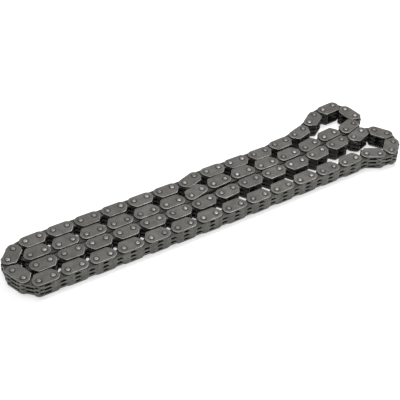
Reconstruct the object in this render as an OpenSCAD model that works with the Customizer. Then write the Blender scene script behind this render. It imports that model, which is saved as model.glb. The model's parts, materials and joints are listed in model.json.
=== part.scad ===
// Endless inverted-tooth timing chain, quarter-inch pitch, lying on its pin ends in four folded runs.
// Every pitch is a real link: two guide plates and two toothed plates riveted to a pair of pins,
// then three toothed plates that run free on the pins of their neighbours.
// Millimetres, +Z up, origin under the middle of the folded chain, on the face that it rests on.

/* [Links] */
// Distance between neighbouring pins
pitch = 6.35; // [5:0.05:8]
// Radius of a plate's ends about its pins and height of its straight back, as a share of the pitch
end_share = 0.425; // [0.35:0.005:0.43]
// Height of the tooth tips and of a guide plate's edge over the pins, as a share of the pitch
tooth_share = 0.625; // [0.52:0.005:0.625]
// Radius at the tooth tips, as a share of the pitch
tip_share = 0.095; // [0.06:0.005:0.11]
// Radius at the root of the notch between two teeth, as a share of the pitch
root_share = 0.126; // [0.09:0.002:0.15]
// Radius at a guide plate's two corners, as a share of the pitch
corner_share = 0.19; // [0.18:0.01:0.24]
// Radius at a toothed plate's two back corners, as a share of the pitch
back_share = 0.235; // [0.23:0.005:0.35]

/* [Flanks] */
// Lean of a tooth's outer flank from upright, in degrees
flank_angle = 40; // [34:1:44]
// Lean of the notch's flanks from upright, in degrees
notch_angle = 42; // [38:1:46]
// Lean of a guide plate's flanks from upright, in degrees
guide_angle = 34; // [34:1:44]

/* [Thickness] */
// Thickness of a toothed plate
plate_t = 1.05; // [0.7:0.05:1.5]
// Thickness of a guide plate
guide_t = 0.75; // [0.5:0.05:1.2]
// Running gap between two plates that lie on each other
layer_gap = 0.02; // [0.01:0.01:0.05]

/* [Pins] */
// Diameter of a pin
pin_d = 2.35; // [1.8:0.05:2.9]
// Radial clearance of a toothed plate on its pins
bore_clear = 0.05; // [0.02:0.01:0.08]
// Length of pin that stands out of each guide plate
pin_out = 0.35; // [0.3:0.05:0.6]
// Height of the crown on a riveted pin end
crown_h = 0.26; // [0.1:0.02:0.28]
// Diameter of the flat on top of the crown
flat_d = 1; // [0.8:0.1:1.4]
// Diameter of the punch mark in the flat
dimple_d = 0.6; // [0.3:0.1:0.7]
// Depth of the punch mark
dimple_h = 0.12; // [0.06:0.02:0.2]

/* [Hidden] */

// How the chain lies: each stretch is [number of links, heading in degrees], walked along the pins.
// Even links carry guide plates and hold the pins at both their ends; odd links are inner ones.
second_run = [[1, 196], [1, 171], [1, 184], [2, 188], [3, 181], [4, 178], [2, 182], [1, 193], [12, 178]];
fold = [[1, -94]];
third_run = [[2, 0], [10, -2], [4, 3], [5, -1], [4, 6], [1, -12], [1, 17]];
front_bend = [[1, -24], [1, -56], [1, -103], [1, -138], [1, 174]];
fourth_run = [[1, 150], [12, 179], [14, 178]];
end_bend = [[1, 135], [1, 109], [1, 81], [1, 46], [1, 13]];
first_run = [[2, 0], [10, -2], [1, 16], [6, -2], [1, 10], [1, 1], [1, 12], [1, 14], [1, 24], [1, 32],
    [1, 10], [1, 2]];
back_bend = [[1, -58]];
stretches = concat(second_run, fold, third_run, front_bend, fourth_run, end_bend, first_run, back_bend);
headings = [for (stretch = stretches) for (i = [1:stretch[0]]) stretch[1]];

function step(heading) = pitch * [cos(heading), sin(heading)];
walked = [for (i = 0, at = [0, 0]; i <= len(headings); at = at + step(i < len(headings) ? headings[i] : 0),
    i = i + 1) at];
// The last pin closes the loop: it lies one pitch from the last walked pin and from the first.
gap_between = walked[0] - walked[len(walked) - 1];
gap_half = norm(gap_between) / 2;
gap_out = [-gap_between[1], gap_between[0]] / (2 * gap_half) * sqrt(pitch * pitch - gap_half * gap_half);
closing = walked[len(walked) - 1] + gap_between / 2 + gap_out;
loose_pins = concat(walked, [closing]);
low = [for (axis = [0, 1]) min([for (at = loose_pins) at[axis]])];
high = [for (axis = [0, 1]) max([for (at = loose_pins) at[axis]])];
pin_at = [for (at = loose_pins) at - (low + high) / 2];
links = len(pin_at);

// Sections of the chain, each [first link, last link]
second = [0, 26];
fold_link = [27, 27];
third = [28, 54];
front_inner_a = [55, 55];
front_guide_a = [56, 56];
front_inner_b = [57, 57];
front_guide_b = [58, 58];
front_inner_c = [59, 59];
fourth_a = [60, 66];
fourth_b = [67, 73];
fourth_c = [74, 80];
fourth_d = [81, 86];
end_inner_b = [87, 87];
end_guide_b = [88, 88];
end_inner_c = [89, 89];
end_guide_a = [90, 90];
end_inner_a = [91, 91];
first_d = [92, 97];
first_c = [98, 104];
first_b = [105, 111];
first_a = [112, 118];
back_inner_b = [119, 119];
back_guide = [120, 120];
back_inner_a = [121, 121];
// The loop is open at this pin, which has a rivet end in each guide plate and no shank between them.
open_pin = 90;

// Seven layers from the bottom guide plate, 0, to the top one, 6
guide_layers = [0, 6];
guide_link_tooth_layers = [2, 4];
inner_link_layers = [1, 3, 5];
stack_h = 2 * guide_t + 5 * plate_t + 6 * layer_gap;
pin_len = stack_h + 2 * pin_out;
function layer_z(layer) =
    pin_out + (layer == 0 ? 0 : guide_t + layer_gap + (layer - 1) * (plate_t + layer_gap));

// Outline of a plate, centred between its pins with the teeth towards +Y
end_r = end_share * pitch;
tooth_h = tooth_share * pitch;
tip_r = tip_share * pitch;
root_r = root_share * pitch;
corner_r = corner_share * pitch;
back_r = back_share * pitch;
function corner_x(lean, r) = (pitch / 2 * cos(lean) + end_r - r - sin(lean) * (tooth_h - r)) / cos(lean);
tip_x = corner_x(flank_angle, tip_r);
root_y = tooth_h - tip_r - (tip_x * cos(notch_angle) - root_r - tip_r) / sin(notch_angle);
notch_x = root_r * cos(notch_angle);
notch_y = root_y - root_r * sin(notch_angle);
notch_top = tooth_h + 1;
notch_top_x = notch_x + (notch_top - notch_y) * tan(notch_angle);

// Ball that a crown is cut from: it meets the rim of the flat and, at the crown's foot, the pin's side
ball_down = (pin_d * pin_d / 4 + crown_h * crown_h - flat_d * flat_d / 4) / (2 * crown_h);
ball_r = norm([ball_down, flat_d / 2]);
smooth = 48;

guide_colour = "#7a7672";
tooth_colour = "#5d5e59";
pin_colour = "#b4b0aa";

// Round ends and a straight back, and flanks that lean in to two corners of radius r
module body_outline(lean, r) {
    out = [cos(lean), sin(lean)];
    top_x = corner_x(lean, r);
    flank = [[pitch / 2, 0] + end_r * out, [top_x, tooth_h - r] + r * out];
    half = concat([[pitch / 2, -end_r]], flank, [[top_x, tooth_h]]);
    polygon(concat(half, [for (i = [3:-1:0]) [-half[i][0], half[i][1]]]));
    for (side = [-1, 1]) {
        translate([side * pitch / 2, 0]) circle(r = end_r, $fn = smooth);
        translate([side * top_x, tooth_h - r]) circle(r = r, $fn = smooth);
    }
}

// Square ends behind the pins, with rounded back corners
module back_outline() {
    end_x = pitch / 2 + end_r;
    round_at = [end_x - back_r, back_r - end_r];
    half = [[round_at[0], -end_r], [end_x, round_at[1]], [end_x, 0]];
    polygon(concat(half, [for (i = [2:-1:0]) [-half[i][0], half[i][1]]]));
    for (side = [-1, 1]) translate([side * round_at[0], round_at[1]]) circle(r = back_r, $fn = smooth);
}

module notch_outline() {
    translate([0, root_y]) circle(r = root_r, $fn = smooth);
    polygon([[-notch_x, notch_y], [notch_x, notch_y], [notch_top_x, notch_top], [-notch_top_x, notch_top]]);
}

module bores(d) {
    for (side = [-1, 1]) translate([side * pitch / 2, 0]) circle(d = d, $fn = smooth);
}

module guide_plate() {
    linear_extrude(guide_t) difference() {
        body_outline(guide_angle, corner_r);
        bores(pin_d);
    }
}

module tooth_plate() {
    linear_extrude(plate_t) difference() {
        union() {
            body_outline(flank_angle, tip_r);
            back_outline();
        }
        notch_outline();
        bores(pin_d + 2 * bore_clear);
    }
}

// The crowned end that stands out of a guide plate, with its flat at z = 0
module pin_end() {
    difference() {
        intersection() {
            translate([0, 0, -pin_out]) cylinder(h = pin_out, d = pin_d, $fn = smooth);
            translate([0, 0, -ball_down]) sphere(r = ball_r, $fn = smooth);
        }
        translate([0, 0, -dimple_h]) cylinder(h = dimple_h, d1 = 0.01, d2 = dimple_d, $fn = smooth);
    }
}

// A length of pin with its riveted end at z = 0
module pin_top(length) {
    pin_end();
    translate([0, 0, -length]) cylinder(h = length - pin_out, d = pin_d, $fn = smooth);
}

module pin() {
    translate([0, 0, pin_len]) pin_top(pin_len / 2);
    mirror([0, 0, 1]) pin_top(pin_len / 2);
}

module pin_in_two() {
    held = pin_out + guide_t;
    translate([0, 0, pin_len]) pin_top(held);
    mirror([0, 0, 1]) pin_top(held);
}

// Puts a plate on link i: local X along the link, local Y to its tooth side
module on_link(i) {
    from = pin_at[i];
    to = pin_at[(i + 1) % links];
    heading = atan2(to[1] - from[1], to[0] - from[0]);
    translate((from + to) / 2) rotate(heading) mirror([0, 1]) children();
}

module guide_plates(section) {
    for (i = [section[0]:section[1]]) if (i % 2 == 0)
        for (layer = guide_layers) on_link(i) translate([0, 0, layer_z(layer)]) guide_plate();
}

module tooth_plates(section) {
    for (i = [section[0]:section[1]])
        for (layer = i % 2 == 0 ? guide_link_tooth_layers : inner_link_layers)
            on_link(i) translate([0, 0, layer_z(layer)]) tooth_plate();
}

module pins(section) {
    for (i = [section[0]:section[1]]) if (i % 2 == 0)
        for (k = [i, i + 1]) translate(pin_at[k]) if (k == open_pin) pin_in_two(); else pin();
}

module second_run_guide_plates() { color(guide_colour) guide_plates(second); }
module second_run_tooth_plates() { color(tooth_colour) tooth_plates(second); }
module second_run_pins() { color(pin_colour) pins(second); }
module fold_link_tooth_plates() { color(tooth_colour) tooth_plates(fold_link); }
module third_run_guide_plates() { color(guide_colour) guide_plates(third); }
module third_run_tooth_plates() { color(tooth_colour) tooth_plates(third); }
module third_run_pins() { color(pin_colour) pins(third); }
module back_bend_inner_link_a() { color(tooth_colour) tooth_plates(back_inner_a); }
module back_bend_guide_plates() { color(guide_colour) guide_plates(back_guide); }
module back_bend_tooth_plates() { color(tooth_colour) tooth_plates(back_guide); }
module back_bend_pins() { color(pin_colour) pins(back_guide); }
module back_bend_inner_link_b() { color(tooth_colour) tooth_plates(back_inner_b); }
module first_run_guide_plates_a() { color(guide_colour) guide_plates(first_a); }
module first_run_tooth_plates_a() { color(tooth_colour) tooth_plates(first_a); }
module first_run_pins_a() { color(pin_colour) pins(first_a); }
module first_run_guide_plates_b() { color(guide_colour) guide_plates(first_b); }
module first_run_tooth_plates_b() { color(tooth_colour) tooth_plates(first_b); }
module first_run_pins_b() { color(pin_colour) pins(first_b); }
module first_run_guide_plates_c() { color(guide_colour) guide_plates(first_c); }
module first_run_tooth_plates_c() { color(tooth_colour) tooth_plates(first_c); }
module first_run_pins_c() { color(pin_colour) pins(first_c); }
module first_run_guide_plates_d() { color(guide_colour) guide_plates(first_d); }
module first_run_tooth_plates_d() { color(tooth_colour) tooth_plates(first_d); }
module first_run_pins_d() { color(pin_colour) pins(first_d); }
module end_bend_inner_link_a() { color(tooth_colour) tooth_plates(end_inner_a); }
module end_bend_guide_plates_a() { color(guide_colour) guide_plates(end_guide_a); }
module end_bend_tooth_plates_a() { color(tooth_colour) tooth_plates(end_guide_a); }
module end_bend_pins_a() { color(pin_colour) pins(end_guide_a); }
module front_bend_inner_link_a() { color(tooth_colour) tooth_plates(front_inner_a); }
module front_bend_guide_plates_a() { color(guide_colour) guide_plates(front_guide_a); }
module front_bend_tooth_plates_a() { color(tooth_colour) tooth_plates(front_guide_a); }
module front_bend_pins_a() { color(pin_colour) pins(front_guide_a); }
module front_bend_inner_link_b() { color(tooth_colour) tooth_plates(front_inner_b); }
module front_bend_guide_plates_b() { color(guide_colour) guide_plates(front_guide_b); }
module front_bend_tooth_plates_b() { color(tooth_colour) tooth_plates(front_guide_b); }
module front_bend_pins_b() { color(pin_colour) pins(front_guide_b); }
module front_bend_inner_link_c() { color(tooth_colour) tooth_plates(front_inner_c); }
module fourth_run_guide_plates_a() { color(guide_colour) guide_plates(fourth_a); }
module fourth_run_tooth_plates_a() { color(tooth_colour) tooth_plates(fourth_a); }
module fourth_run_pins_a() { color(pin_colour) pins(fourth_a); }
module fourth_run_guide_plates_b() { color(guide_colour) guide_plates(fourth_b); }
module fourth_run_tooth_plates_b() { color(tooth_colour) tooth_plates(fourth_b); }
module fourth_run_pins_b() { color(pin_colour) pins(fourth_b); }
module fourth_run_guide_plates_c() { color(guide_colour) guide_plates(fourth_c); }
module fourth_run_tooth_plates_c() { color(tooth_colour) tooth_plates(fourth_c); }
module fourth_run_pins_c() { color(pin_colour) pins(fourth_c); }
module fourth_run_guide_plates_d() { color(guide_colour) guide_plates(fourth_d); }
module fourth_run_tooth_plates_d() { color(tooth_colour) tooth_plates(fourth_d); }
module fourth_run_pins_d() { color(pin_colour) pins(fourth_d); }
module end_bend_inner_link_b() { color(tooth_colour) tooth_plates(end_inner_b); }
module end_bend_guide_plates_b() { color(guide_colour) guide_plates(end_guide_b); }
module end_bend_tooth_plates_b() { color(tooth_colour) tooth_plates(end_guide_b); }
module end_bend_pins_b() { color(pin_colour) pins(end_guide_b); }
module end_bend_inner_link_c() { color(tooth_colour) tooth_plates(end_inner_c); }

second_run_guide_plates();
second_run_tooth_plates();
second_run_pins();
fold_link_tooth_plates();
third_run_guide_plates();
third_run_tooth_plates();
third_run_pins();
back_bend_inner_link_a();
back_bend_guide_plates();
back_bend_tooth_plates();
back_bend_pins();
back_bend_inner_link_b();
first_run_guide_plates_a();
first_run_tooth_plates_a();
first_run_pins_a();
first_run_guide_plates_b();
first_run_tooth_plates_b();
first_run_pins_b();
first_run_guide_plates_c();
first_run_tooth_plates_c();
first_run_pins_c();
first_run_guide_plates_d();
first_run_tooth_plates_d();
first_run_pins_d();
end_bend_inner_link_a();
end_bend_guide_plates_a();
end_bend_tooth_plates_a();
end_bend_pins_a();
front_bend_inner_link_a();
front_bend_guide_plates_a();
front_bend_tooth_plates_a();
front_bend_pins_a();
front_bend_inner_link_b();
front_bend_guide_plates_b();
front_bend_tooth_plates_b();
front_bend_pins_b();
front_bend_inner_link_c();
fourth_run_guide_plates_a();
fourth_run_tooth_plates_a();
fourth_run_pins_a();
fourth_run_guide_plates_b();
fourth_run_tooth_plates_b();
fourth_run_pins_b();
fourth_run_guide_plates_c();
fourth_run_tooth_plates_c();
fourth_run_pins_c();
fourth_run_guide_plates_d();
fourth_run_tooth_plates_d();
fourth_run_pins_d();
end_bend_inner_link_b();
end_bend_guide_plates_b();
end_bend_tooth_plates_b();
end_bend_pins_b();
end_bend_inner_link_c();
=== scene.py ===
import json
import random
from math import radians, sin, cos

import bpy
import bmesh
from mathutils import Vector, Matrix, kdtree


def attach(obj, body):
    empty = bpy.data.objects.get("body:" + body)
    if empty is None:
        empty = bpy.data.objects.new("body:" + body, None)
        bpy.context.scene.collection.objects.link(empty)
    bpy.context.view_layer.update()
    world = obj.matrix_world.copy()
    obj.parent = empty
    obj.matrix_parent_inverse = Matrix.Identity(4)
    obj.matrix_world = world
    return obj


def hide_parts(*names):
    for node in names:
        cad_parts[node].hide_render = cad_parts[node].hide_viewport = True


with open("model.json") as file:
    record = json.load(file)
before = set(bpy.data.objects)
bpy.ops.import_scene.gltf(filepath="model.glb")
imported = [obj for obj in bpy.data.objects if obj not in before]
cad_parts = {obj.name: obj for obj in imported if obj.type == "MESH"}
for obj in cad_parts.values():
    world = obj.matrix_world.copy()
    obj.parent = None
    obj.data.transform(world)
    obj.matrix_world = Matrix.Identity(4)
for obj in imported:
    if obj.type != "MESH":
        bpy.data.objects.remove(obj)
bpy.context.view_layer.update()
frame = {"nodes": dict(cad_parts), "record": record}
print("frame loaded,", len(frame["nodes"]), "nodes")

mm = 0.001
bodyOfNode = {node: body for body, nodes in frame["record"]["behaviour"]["bodies"].items() for node in nodes}
guideNodes = sorted(name for name in frame["nodes"] if "guide_plates" in name)
pinNodes = sorted(name for name in frame["nodes"] if "_pins" in name)
toothNodes = sorted(name for name in frame["nodes"] if "tooth_plates" in name or "inner_link" in name)

meshRules = {
    "sameSpot": 0.001 * mm,    # points nearer than this become one
    "levelAngle": 1,           # triangles that turn by less than this, in degrees, are laid out afresh
    "flatNormal": 0.99,        # a face whose normal is at least this upright is a plate's flat face
    "edgeTilt": 0.5,           # an edge is rolled where its faces' normals differ more than this in height
    "smoothAngle": 32,
    "measureLine": 9,          # sameLine for the copies that only measure the pins' places
    "boreReach": 1.3 * mm,     # nearer to a pin's axis than this is the edge of its bore
    "backReach": 3.0 * mm,     # the height over which a plate's wall goes from painted shade on the tooth side to plain steel at the back
}


def newMaterial(name):
    material = bpy.data.materials.new(name)
    material.use_nodes = True
    nodes = material.node_tree.nodes
    return material, nodes, material.node_tree.links, nodes["Principled BSDF"]


def noise(nodes, links, place, scale, detail, stretch=(1, 1, 1)):
    # a noise on the piece's own coordinates; a stretch over 1 packs it along that axis
    mapping = nodes.new("ShaderNodeMapping")
    mapping.inputs["Scale"].default_value = stretch
    links.new(place.outputs["Object"], mapping.inputs["Vector"])
    pattern = nodes.new("ShaderNodeTexNoise")
    pattern.inputs["Scale"].default_value = scale
    pattern.inputs["Detail"].default_value = detail
    links.new(mapping.outputs["Vector"], pattern.inputs["Vector"])
    return pattern.outputs["Fac"]


def ramp(nodes, links, source, low, high, lowColour, highColour):
    made = nodes.new("ShaderNodeValToRGB")
    made.color_ramp.elements[0].position = low
    made.color_ramp.elements[1].position = high
    made.color_ramp.elements[0].color = (*lowColour, 1)
    made.color_ramp.elements[1].color = (*highColour, 1)
    links.new(source, made.inputs["Fac"])
    return made.outputs["Color"]


def greys(nodes, links, source, steps):
    # steps: list of (position, grey) along the source
    made = nodes.new("ShaderNodeValToRGB")
    while len(made.color_ramp.elements) < len(steps):
        made.color_ramp.elements.new(0.5)
    for element, (position, grey) in zip(made.color_ramp.elements, steps):
        element.position = position
        element.color = (grey, grey, grey, 1)
    links.new(source, made.inputs["Fac"])
    return made.outputs["Color"]


def spread(nodes, links, source, low, high, toLow, toHigh):
    made = nodes.new("ShaderNodeMapRange")
    for name, value in (("From Min", low), ("From Max", high), ("To Min", toLow), ("To Max", toHigh)):
        made.inputs[name].default_value = value
    links.new(source, made.inputs["Value"])
    return made.outputs["Result"]


def calculate(nodes, links, operation, first, second):
    made = nodes.new("ShaderNodeMath")
    made.operation = operation
    for socket, value in zip(made.inputs, (first, second)):
        if isinstance(value, (int, float)):
            socket.default_value = value
        else:
            links.new(value, socket)
    return made.outputs["Value"]


def mixColour(nodes, links, share, first, second, blend="MIX"):
    made = nodes.new("ShaderNodeMix")
    made.data_type = "RGBA"
    made.blend_type = blend
    sockets = [made.inputs[0], made.inputs[6], made.inputs[7]]    # factor and the two colours
    for socket, value in zip(sockets, (share, first, second)):
        if isinstance(value, tuple):
            socket.default_value = (*value, 1)
        elif isinstance(value, (int, float)):
            socket.default_value = value
        else:
            links.new(value, socket)
    return made.outputs[2]


def pieceValue(nodes, name):
    made = nodes.new("ShaderNodeAttribute")
    made.attribute_name = name
    return made.outputs["Fac"]


def toned(nodes, links, colour, look):
    # each plate or pin is lighter or darker by its own tone
    darkest, lightest = 1 - look["toneSpread"], 1 + look["toneSpread"]
    tone = spread(nodes, links, pieceValue(nodes, "tone"), 0, 1, darkest, lightest)
    return mixColour(nodes, links, 1.0, colour, tone, "MULTIPLY")


def bumps(nodes, links, heights):
    # heights: list of (height, strength, distance), one bump over the other
    normal = None
    for height, strength, distance in heights:
        made = nodes.new("ShaderNodeBump")
        made.inputs["Strength"].default_value = strength
        made.inputs["Distance"].default_value = distance
        links.new(height, made.inputs["Height"])
        if normal:
            links.new(normal, made.inputs["Normal"])
        normal = made.outputs["Normal"]
    return normal


# marks in the steel. cloud, grain, scratches, lines and dents are noises: scale, detail and stretch.
# speck, worn and streak turn a noise from low, high into low, high; middle is the part of a noise in use.
# rough is what the look's roughness gets at the noise's low and high end; bumps are strength and depth.
faceMarks = {
    "cloud": (260, 4),
    "grain": (2600, 3),
    "scratches": (900, 2, (1, 7, 1)),
    "middle": (0.3, 0.7),
    "speck": (0.35, 0.65, 0.84, 1.12),
    "worn": (0.35, 0.6, 0.55, 1),
    "rimPower": 2.0,
    "footPower": 1.5,
    "rough": (0.07, -0.05),
    "rubbedShine": 0.12,
    "grainBump": (0.35, 0.03 * mm),
    "scratchBump": (0.2, 0.02 * mm),
}
wallMarks = {
    "cloud": (300, 3),
    "lines": (1500, 3, (1, 1, 0.12)),
    "middle": (0.3, 0.7),
    "streak": (0.35, 0.65, 0.82, 1.12),
    "rough": (0.08, -0.08),
    "lineBump": (0.3, 0.03 * mm),
}
pinMarks = {
    "cloud": (700, 3),
    "dents": (1600, 2),
    "middle": (0.3, 0.7),
    "rough": (0.08, -0.06),
    "ringRough": 0.25,
    "dentBump": (0.3, 0.04 * mm),
}


def roughness(nodes, links, source, marks, look):
    rougher, smoother = (look["roughness"] + step for step in marks["rough"])
    return spread(nodes, links, source, *marks["middle"], rougher, smoother)


# tumbled steel of the plates' flat faces, lighter at the rim by rubbed wear and a painted highlight, with a
# painted shade line just inside the rim and painted shade round the pins
def plateFace(name, look):
    material, nodes, links, shader = newMaterial(name)
    place = nodes.new("ShaderNodeTexCoord")
    cloud = noise(nodes, links, place, *faceMarks["cloud"])
    grain = noise(nodes, links, place, *faceMarks["grain"])
    scratches = noise(nodes, links, place, *faceMarks["scratches"])
    colour = ramp(nodes, links, cloud, *faceMarks["middle"], look["dark"], look["light"])
    speck = spread(nodes, links, grain, *faceMarks["speck"])
    colour = mixColour(nodes, links, 1.0, colour, speck, "MULTIPLY")
    rim = pieceValue(nodes, "rim")
    # a darker line just inside the rim: painted shade
    colour = mixColour(nodes, links, 1.0, colour, greys(nodes, links, rim, look["edgeLine"]), "MULTIPLY")
    # the rim is lighter: rubbed wear, patchy by the worn noise, together with a painted highlight
    worn = spread(nodes, links, cloud, *faceMarks["worn"])
    edge = calculate(nodes, links, "POWER", rim, faceMarks["rimPower"])
    wornRimHighlight = calculate(nodes, links, "MULTIPLY", edge, worn)
    colour = mixColour(nodes, links, wornRimHighlight, colour, look["wornRimHighlight"])
    # painted shade round the pins' feet: the bore edges are darkened towards the shade colour
    foot = calculate(nodes, links, "POWER", pieceValue(nodes, "foot"), faceMarks["footPower"])
    paintedShade = calculate(nodes, links, "MULTIPLY", foot, look["shadeDepth"])
    colour = toned(nodes, links, mixColour(nodes, links, paintedShade, colour, look["shadeColour"]), look)
    links.new(colour, shader.inputs["Base Color"])
    shine = calculate(nodes, links, "MULTIPLY", wornRimHighlight, faceMarks["rubbedShine"])
    rough = calculate(nodes, links, "SUBTRACT", roughness(nodes, links, cloud, faceMarks, look), shine)
    links.new(rough, shader.inputs["Roughness"])
    shader.inputs["Metallic"].default_value = look["metallic"]
    heights = [(grain, *faceMarks["grainBump"]), (scratches, *faceMarks["scratchBump"])]
    links.new(bumps(nodes, links, heights), shader.inputs["Normal"])
    return material


# sheared wall of a stamped plate: fine lines across the thickness, with painted shade on the tooth side
def plateWall(name, look):
    material, nodes, links, shader = newMaterial(name)
    place = nodes.new("ShaderNodeTexCoord")
    cloud = noise(nodes, links, place, *wallMarks["cloud"])
    lines = noise(nodes, links, place, *wallMarks["lines"])
    colour = ramp(nodes, links, cloud, *wallMarks["middle"], look["dark"], look["light"])
    streak = spread(nodes, links, lines, *wallMarks["streak"])
    colour = mixColour(nodes, links, 1.0, colour, streak, "MULTIPLY")
    # painted shade: the wall is darkened towards the shade colour on the tooth side
    toothed = calculate(nodes, links, "SUBTRACT", 1.0, pieceValue(nodes, "back"))
    paintedShade = calculate(nodes, links, "MULTIPLY", toothed, look["shadeDepth"])
    colour = toned(nodes, links, mixColour(nodes, links, paintedShade, colour, look["shadeColour"]), look)
    links.new(colour, shader.inputs["Base Color"])
    links.new(roughness(nodes, links, lines, wallMarks, look), shader.inputs["Roughness"])
    shader.inputs["Metallic"].default_value = look["metallic"]
    links.new(bumps(nodes, links, [(lines, *wallMarks["lineBump"])]), shader.inputs["Normal"])
    return material


# bright riveted pin end with small dents, with painted shade round its edge where it meets the plate
def pinEnd(name, look):
    material, nodes, links, shader = newMaterial(name)
    place = nodes.new("ShaderNodeTexCoord")
    cloud = noise(nodes, links, place, *pinMarks["cloud"])
    dents = noise(nodes, links, place, *pinMarks["dents"])
    colour = ramp(nodes, links, cloud, *pinMarks["middle"], look["dark"], look["light"])
    # painted shade: the outer part of the pin end is darkened towards the shade colour
    paintedShade = spread(nodes, links, pieceValue(nodes, "foot"), look["shadeFrom"], 1, 0, look["shadeDepth"])
    colour = toned(nodes, links, mixColour(nodes, links, paintedShade, colour, look["shadeColour"]), look)
    links.new(colour, shader.inputs["Base Color"])
    dulled = calculate(nodes, links, "MULTIPLY", paintedShade, pinMarks["ringRough"])
    rough = calculate(nodes, links, "ADD", roughness(nodes, links, cloud, pinMarks, look), dulled)
    links.new(rough, shader.inputs["Roughness"])
    shader.inputs["Metallic"].default_value = look["metallic"]
    links.new(bumps(nodes, links, [(dents, *pinMarks["dentBump"])]), shader.inputs["Normal"])
    return material


def deselect():
    bpy.ops.object.select_all(action="DESELECT")


def copyOfNode(nodeName, pieceName, sameLine):
    # the CAD solid's own mesh, merged; edges that turn by less than sameLine degrees become one
    deselect()
    piece = bpy.data.objects.new(pieceName, frame["nodes"][nodeName].data.copy())
    bpy.context.scene.collection.objects.link(piece)
    piece.data.materials.clear()
    piece.select_set(True)
    bpy.context.view_layer.objects.active = piece
    bpy.ops.object.mode_set(mode="EDIT")
    bpy.ops.mesh.select_mode(type="FACE")
    bpy.ops.mesh.select_all(action="SELECT")
    bpy.ops.mesh.remove_doubles(threshold=meshRules["sameSpot"])
    bpy.ops.mesh.dissolve_limited(angle_limit=radians(sameLine))
    bpy.ops.mesh.quads_convert_to_tris(quad_method="BEAUTY", ngon_method="BEAUTY")
    bpy.ops.mesh.beautify_fill(angle_limit=radians(meshRules["levelAngle"]))
    bpy.ops.mesh.select_all(action="DESELECT")
    bpy.ops.object.mode_set(mode="OBJECT")
    return piece


def solidsOf(piece):
    # vertex numbers of each separate solid in the mesh
    mesh = bmesh.new()
    mesh.from_mesh(piece.data)
    mesh.verts.ensure_lookup_table()
    left, solids = set(range(len(mesh.verts))), []
    while left:
        waiting, found = [left.pop()], []
        while waiting:
            number = waiting.pop()
            found.append(number)
            for edge in mesh.verts[number].link_edges:
                other = edge.other_vert(mesh.verts[number]).index
                if other in left:
                    left.remove(other)
                    waiting.append(other)
        solids.append(found)
    mesh.free()
    return solids


def findPins():
    # the middle of every pin, seen from above
    centres = []
    for nodeName in pinNodes:
        piece = copyOfNode(nodeName, "measure", meshRules["measureLine"])
        for solid in solidsOf(piece):
            points = [piece.data.vertices[number].co for number in solid]
            low = Vector((min(p[axis] for p in points) for axis in range(3)))
            high = Vector((max(p[axis] for p in points) for axis in range(3)))
            centres.append((low + high) / 2)
        bpy.data.objects.remove(piece)
    tree = kdtree.KDTree(len(centres))
    for number, centre in enumerate(centres):
        tree.insert((centre.x, centre.y, 0), number)
    tree.balance()
    return tree


pinTree = findPins()
print("pins found")


def pinDistance(point):
    return pinTree.find((point.x, point.y, 0))[2]


def isFlat(face):
    return abs(face.normal.z) > meshRules["flatNormal"]


def markRims(piece, rimWidth):
    # a ring inside every outline: rim is 1 on the outer edge, foot is 1 on the edge of a bore
    for face in piece.data.polygons:
        face.select = isFlat(face)
    bpy.ops.object.mode_set(mode="EDIT")
    bpy.ops.mesh.select_mode(type="FACE")
    bpy.ops.mesh.inset(thickness=rimWidth, depth=0, use_boundary=True, use_even_offset=True)
    bpy.ops.object.mode_set(mode="OBJECT")
    rim = piece.data.attributes.new("rim", "FLOAT", "POINT")
    foot = piece.data.attributes.new("foot", "FLOAT", "POINT")
    inner = {number for face in piece.data.polygons if face.select for number in face.vertices}
    for vertex in piece.data.vertices:
        if vertex.index not in inner:
            atBore = pinDistance(vertex.co) < meshRules["boreReach"]
            (foot if atBore else rim).data[vertex.index].value = 1


def markFeet(piece, radius):
    # foot grows from 0 on a pin's axis to 1 at its side
    foot = piece.data.attributes.new("foot", "FLOAT", "POINT")
    for vertex in piece.data.vertices:
        foot.data[vertex.index].value = min(1, pinDistance(vertex.co) / radius)


def markBacks(piece):
    # back is 1 on the side of a plate away from its teeth; the pin at each end gives the plate's line
    back = piece.data.attributes.new("back", "FLOAT", "POINT")
    for solid in solidsOf(piece):
        points = [piece.data.vertices[number].co for number in solid]
        middle = sum(points, Vector()) / len(points)
        pinsHere = [near[0] for near in pinTree.find_n((middle.x, middle.y, 0), 2)]
        along = (pinsHere[1] - pinsHere[0]).normalized()
        across = Vector((-along.y, along.x, 0))
        heights = [(point - pinsHere[0]).dot(across) for point in points]
        toothSide = 1 if max(heights) > -min(heights) else -1
        for number, height in zip(solid, heights):
            share = 0.5 - toothSide * height / meshRules["backReach"]
            back.data[number].value = min(1, max(0, share))


def giveTones(piece, seed):
    # each plate or pin gets a tone of its own, from 0 to 1
    shade = random.Random(seed)
    tone = piece.data.attributes.new("tone", "FLOAT", "POINT")
    for solid in solidsOf(piece):
        value = shade.random()
        for number in solid:
            tone.data[number].value = value


def roundOutline(piece, width, steps):
    # rolls the edges between the flat faces and the outer wall; the edges of the bores stay sharp
    bpy.ops.object.mode_set(mode="EDIT")
    bpy.ops.mesh.select_mode(type="EDGE")
    bpy.ops.mesh.select_all(action="DESELECT")
    mesh = bmesh.from_edit_mesh(piece.data)
    for edge in mesh.edges:
        tilts = [abs(face.normal.z) for face in edge.link_faces]
        place = (edge.verts[0].co + edge.verts[1].co) / 2
        turned = max(tilts) - min(tilts) > meshRules["edgeTilt"]
        if turned and pinDistance(place) > meshRules["boreReach"]:
            edge.select = True
    bmesh.update_edit_mesh(piece.data)
    bpy.ops.mesh.bevel(offset=width, segments=steps, affect="EDGES", clamp_overlap=True)
    bpy.ops.object.mode_set(mode="OBJECT")
    bpy.ops.object.shade_smooth_by_angle(angle=radians(meshRules["smoothAngle"]))


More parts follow.
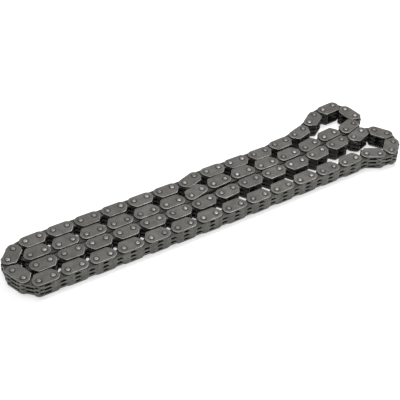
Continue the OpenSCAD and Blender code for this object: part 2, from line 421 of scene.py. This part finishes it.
def bevelEdges(piece, width, steps, angle):
    bevel = piece.modifiers.new("edge", "BEVEL")
    bevel.width = width
    bevel.segments = steps
    bevel.limit_method = "ANGLE"
    bevel.angle_limit = radians(angle)
    bevel.use_clamp_overlap = True
    bpy.ops.object.modifier_apply(modifier=bevel.name)
    bpy.ops.object.shade_smooth_by_angle(angle=radians(meshRules["smoothAngle"]))


def paintPlate(piece, faceMaterial, wallMaterial):
    piece.data.materials.append(faceMaterial)
    piece.data.materials.append(wallMaterial)
    for face in piece.data.polygons:
        face.material_index = 0 if isFlat(face) else 1


def finishPiece(piece, nodeName):
    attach(piece, bodyOfNode[nodeName])
    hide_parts(nodeName)


# flat outer plates that hold the pins
guidePlates = {
    "sameLine": 9,
    "bevel": 0.2 * mm,
    "bevelSteps": 2,
    "rimWidth": 0.6 * mm,
    "toneSeed": 100,
    # the rubbed colour lightens the rim: wear with a painted highlight
    "face": dict(dark=(0.088, 0.084, 0.077), light=(0.12, 0.115, 0.107), wornRimHighlight=(0.29, 0.282, 0.264),
                 # shade colour and depth: painted shade round the pins' feet
                 shadeColour=(0.018, 0.018, 0.016), shadeDepth=0.9, toneSpread=0.08, roughness=0.54, metallic=0.75,
                 # edge line: a painted shade line just inside the rim
                 edgeLine=[(0.0, 1.0), (0.3, 0.55), (0.65, 1.0)]),
    # shade colour and depth: painted shade on the wall's tooth side
    "wall": dict(dark=(0.125, 0.121, 0.111), light=(0.172, 0.167, 0.154), shadeColour=(0.05, 0.049, 0.044), shadeDepth=0.6,
                 toneSpread=0.06, roughness=0.5, metallic=0.75),
}
guideFaceSteel = plateFace("guidePlateFace", guidePlates["face"])
guideWallSteel = plateWall("guidePlateWall", guidePlates["wall"])
for number, nodeName in enumerate(guideNodes):
    piece = copyOfNode(nodeName, "fine_" + nodeName, guidePlates["sameLine"])
    paintPlate(piece, guideFaceSteel, guideWallSteel)
    markRims(piece, guidePlates["rimWidth"])
    markBacks(piece)
    giveTones(piece, guidePlates["toneSeed"] + number)
    roundOutline(piece, guidePlates["bevel"], guidePlates["bevelSteps"])
    finishPiece(piece, nodeName)
print("guide plates done")

# notched plates between them, laced on the pins
toothPlates = {
    "sameLine": 14,
    "bevel": 0.07 * mm,
    "bevelSteps": 1,
    "toneSeed": 300,
    # the toothed plates' faces are painted much darker than the same steel on the guide plates: painted
    # shade where they lie between the plates
    "face": dict(dark=(0.03, 0.03, 0.027), light=(0.052, 0.052, 0.047), wornRimHighlight=(0.1, 0.1, 0.09),
                 shadeColour=(0.02, 0.02, 0.018), shadeDepth=0.8, toneSpread=0.1, roughness=0.5, metallic=0.7,
                 edgeLine=[(0.0, 1.0), (1.0, 1.0)]),
    # shade colour and depth: painted shade on the wall's tooth side
    "wall": dict(dark=(0.11, 0.109, 0.099), light=(0.155, 0.153, 0.14), shadeColour=(0.015, 0.015, 0.014), shadeDepth=0.93,
                 toneSpread=0.12, roughness=0.48, metallic=0.7),
}
toothFaceSteel = plateFace("toothPlateFace", toothPlates["face"])
toothWallSteel = plateWall("toothPlateWall", toothPlates["wall"])
for number, nodeName in enumerate(toothNodes):
    piece = copyOfNode(nodeName, "fine_" + nodeName, toothPlates["sameLine"])
    paintPlate(piece, toothFaceSteel, toothWallSteel)
    markBacks(piece)
    giveTones(piece, toothPlates["toneSeed"] + number)
    roundOutline(piece, toothPlates["bevel"], toothPlates["bevelSteps"])
    finishPiece(piece, nodeName)
print("toothed plates done")

# riveted pins
pins = {
    "sameLine": 5,
    "radius": 1.17 * mm,
    "bevel": 0.05 * mm,
    "bevelSteps": 2,
    "bevelAngle": 30,
    "toneSeed": 500,
    # shade colour, depth and start: painted shade round the edge of each pin end
    "end": dict(dark=(0.14, 0.136, 0.126), light=(0.21, 0.205, 0.191), shadeColour=(0.012, 0.012, 0.011), shadeDepth=0.95,
                shadeFrom=0.7, toneSpread=0.35, roughness=0.42, metallic=0.85),
}
pinSteel = pinEnd("pinEnd", pins["end"])
for number, nodeName in enumerate(pinNodes):
    piece = copyOfNode(nodeName, "fine_" + nodeName, pins["sameLine"])
    piece.data.materials.append(pinSteel)
    giveTones(piece, pins["toneSeed"] + number)
    bevelEdges(piece, pins["bevel"], pins["bevelSteps"], pins["bevelAngle"])
    markFeet(piece, pins["radius"])
    finishPiece(piece, nodeName)
print("pins done")


def seenBack(nodes, links):
    # 1 for what the camera sees straight, in a reflection or through glass
    path = nodes.new("ShaderNodeLightPath")
    total = calculate(nodes, links, "MAXIMUM", path.outputs["Is Camera Ray"], path.outputs["Is Glossy Ray"])
    return calculate(nodes, links, "MAXIMUM", total, path.outputs["Is Transmission Ray"])


# the lamps fade away from the object, so the floor's glow grows from near to far and keeps it white
floorLook = {
    "size": 6.0,
    "colour": (0.93, 0.93, 0.93),
    "roughness": 0.9,
    "near": 0.16,
    "far": 0.6,
    "nearGlow": 0.62,
    "farGlow": 1.0,
}


def makeFloor():
    deselect()
    bpy.ops.mesh.primitive_plane_add(size=floorLook["size"], location=(0, 0, 0))
    floor = bpy.context.object
    floor.name = "floor"
    material, nodes, links, shader = newMaterial("paleFloor")
    shader.inputs["Base Color"].default_value = (*floorLook["colour"], 1)
    shader.inputs["Roughness"].default_value = floorLook["roughness"]
    shader.inputs["Specular IOR Level"].default_value = 0.0
    distance = nodes.new("ShaderNodeVectorMath")
    distance.operation = "LENGTH"
    links.new(nodes.new("ShaderNodeTexCoord").outputs["Object"], distance.inputs[0])
    level = spread(nodes, links, distance.outputs["Value"], floorLook["near"], floorLook["far"],
                   floorLook["nearGlow"], floorLook["farGlow"])
    glow = nodes.new("ShaderNodeEmission")
    glow.inputs["Color"].default_value = (1, 1, 1, 1)
    strength = calculate(nodes, links, "MULTIPLY", seenBack(nodes, links), level)
    links.new(strength, glow.inputs["Strength"])
    both = nodes.new("ShaderNodeAddShader")
    links.new(shader.outputs["BSDF"], both.inputs[0])
    links.new(glow.outputs["Emission"], both.inputs[1])
    links.new(both.outputs["Shader"], nodes["Material Output"].inputs["Surface"])
    floor.data.materials.append(material)


skyLook = {
    "background": (1, 1, 1),
    "backgroundStrength": 1,
    "fill": (0.97, 0.98, 1.0),
    "fillStrength": 0.12,
}


def makeSky():
    world = bpy.data.worlds.new("studio")
    bpy.context.scene.world = world
    world.use_nodes = True
    nodes, links = world.node_tree.nodes, world.node_tree.links
    shown = nodes["Background"]
    shown.inputs["Color"].default_value = (*skyLook["background"], 1)
    shown.inputs["Strength"].default_value = skyLook["backgroundStrength"]
    fill = nodes.new("ShaderNodeBackground")
    fill.inputs["Color"].default_value = (*skyLook["fill"], 1)
    fill.inputs["Strength"].default_value = skyLook["fillStrength"]
    both = nodes.new("ShaderNodeMixShader")
    links.new(seenBack(nodes, links), both.inputs["Fac"])
    links.new(fill.outputs["Background"], both.inputs[1])
    links.new(shown.outputs["Background"], both.inputs[2])
    links.new(both.outputs["Shader"], nodes["World Output"].inputs["Surface"])


lampsLook = [
    {"name": "key", "place": (0.3, 0.17, 0.72), "size": 0.12, "power": 2.6, "colour": (1, 0.99, 0.97)},
    {"name": "overhead", "place": (-0.1, 0.1, 0.8), "size": 0.5, "power": 2.0, "colour": (1, 1, 1)},
]


def makeLamps():
    for look in lampsLook:
        lamp = bpy.data.lights.new(look["name"], "AREA")
        lamp.shape = "DISK"
        lamp.size = look["size"]
        lamp.energy = look["power"]
        lamp.color = look["colour"]
        holder = bpy.data.objects.new(look["name"], lamp)
        bpy.context.scene.collection.objects.link(holder)
        holder.location = look["place"]
        holder.rotation_euler = (-Vector(look["place"])).to_track_quat("-Z", "Y").to_euler()


cameraLook = {
    "aim": (-7.5 * mm, -4.8 * mm, 7.57 * mm),
    "azimuth": -34.94,
    "elevation": 42.44,
    "roll": 3.2,
    "distance": 438.3 * mm,
    "lens": 90.88,
    "sensor": 36.0,
    "nearest": 0.01,
    "farthest": 20,
}


def makeCamera():
    lens = bpy.data.cameras.new("camera")
    camera = bpy.data.objects.new("camera", lens)
    bpy.context.scene.collection.objects.link(camera)
    bpy.context.scene.camera = camera
    lens.lens = cameraLook["lens"]
    lens.sensor_width = cameraLook["sensor"]
    lens.clip_start = cameraLook["nearest"]
    lens.clip_end = cameraLook["farthest"]
    turn, lift = radians(cameraLook["azimuth"]), radians(cameraLook["elevation"])
    back = Vector((sin(turn) * cos(lift), -cos(turn) * cos(lift), sin(lift)))
    camera.location = Vector(cameraLook["aim"]) + back * cameraLook["distance"]
    level = (-back).to_track_quat("-Z", "Y").to_matrix()
    camera.rotation_euler = (level @ Matrix.Rotation(radians(cameraLook["roll"]), 3, "Z")).to_euler()


makeFloor()
makeSky()
makeLamps()
makeCamera()
bpy.context.scene.view_settings.view_transform = "Standard"
print("studio ready")
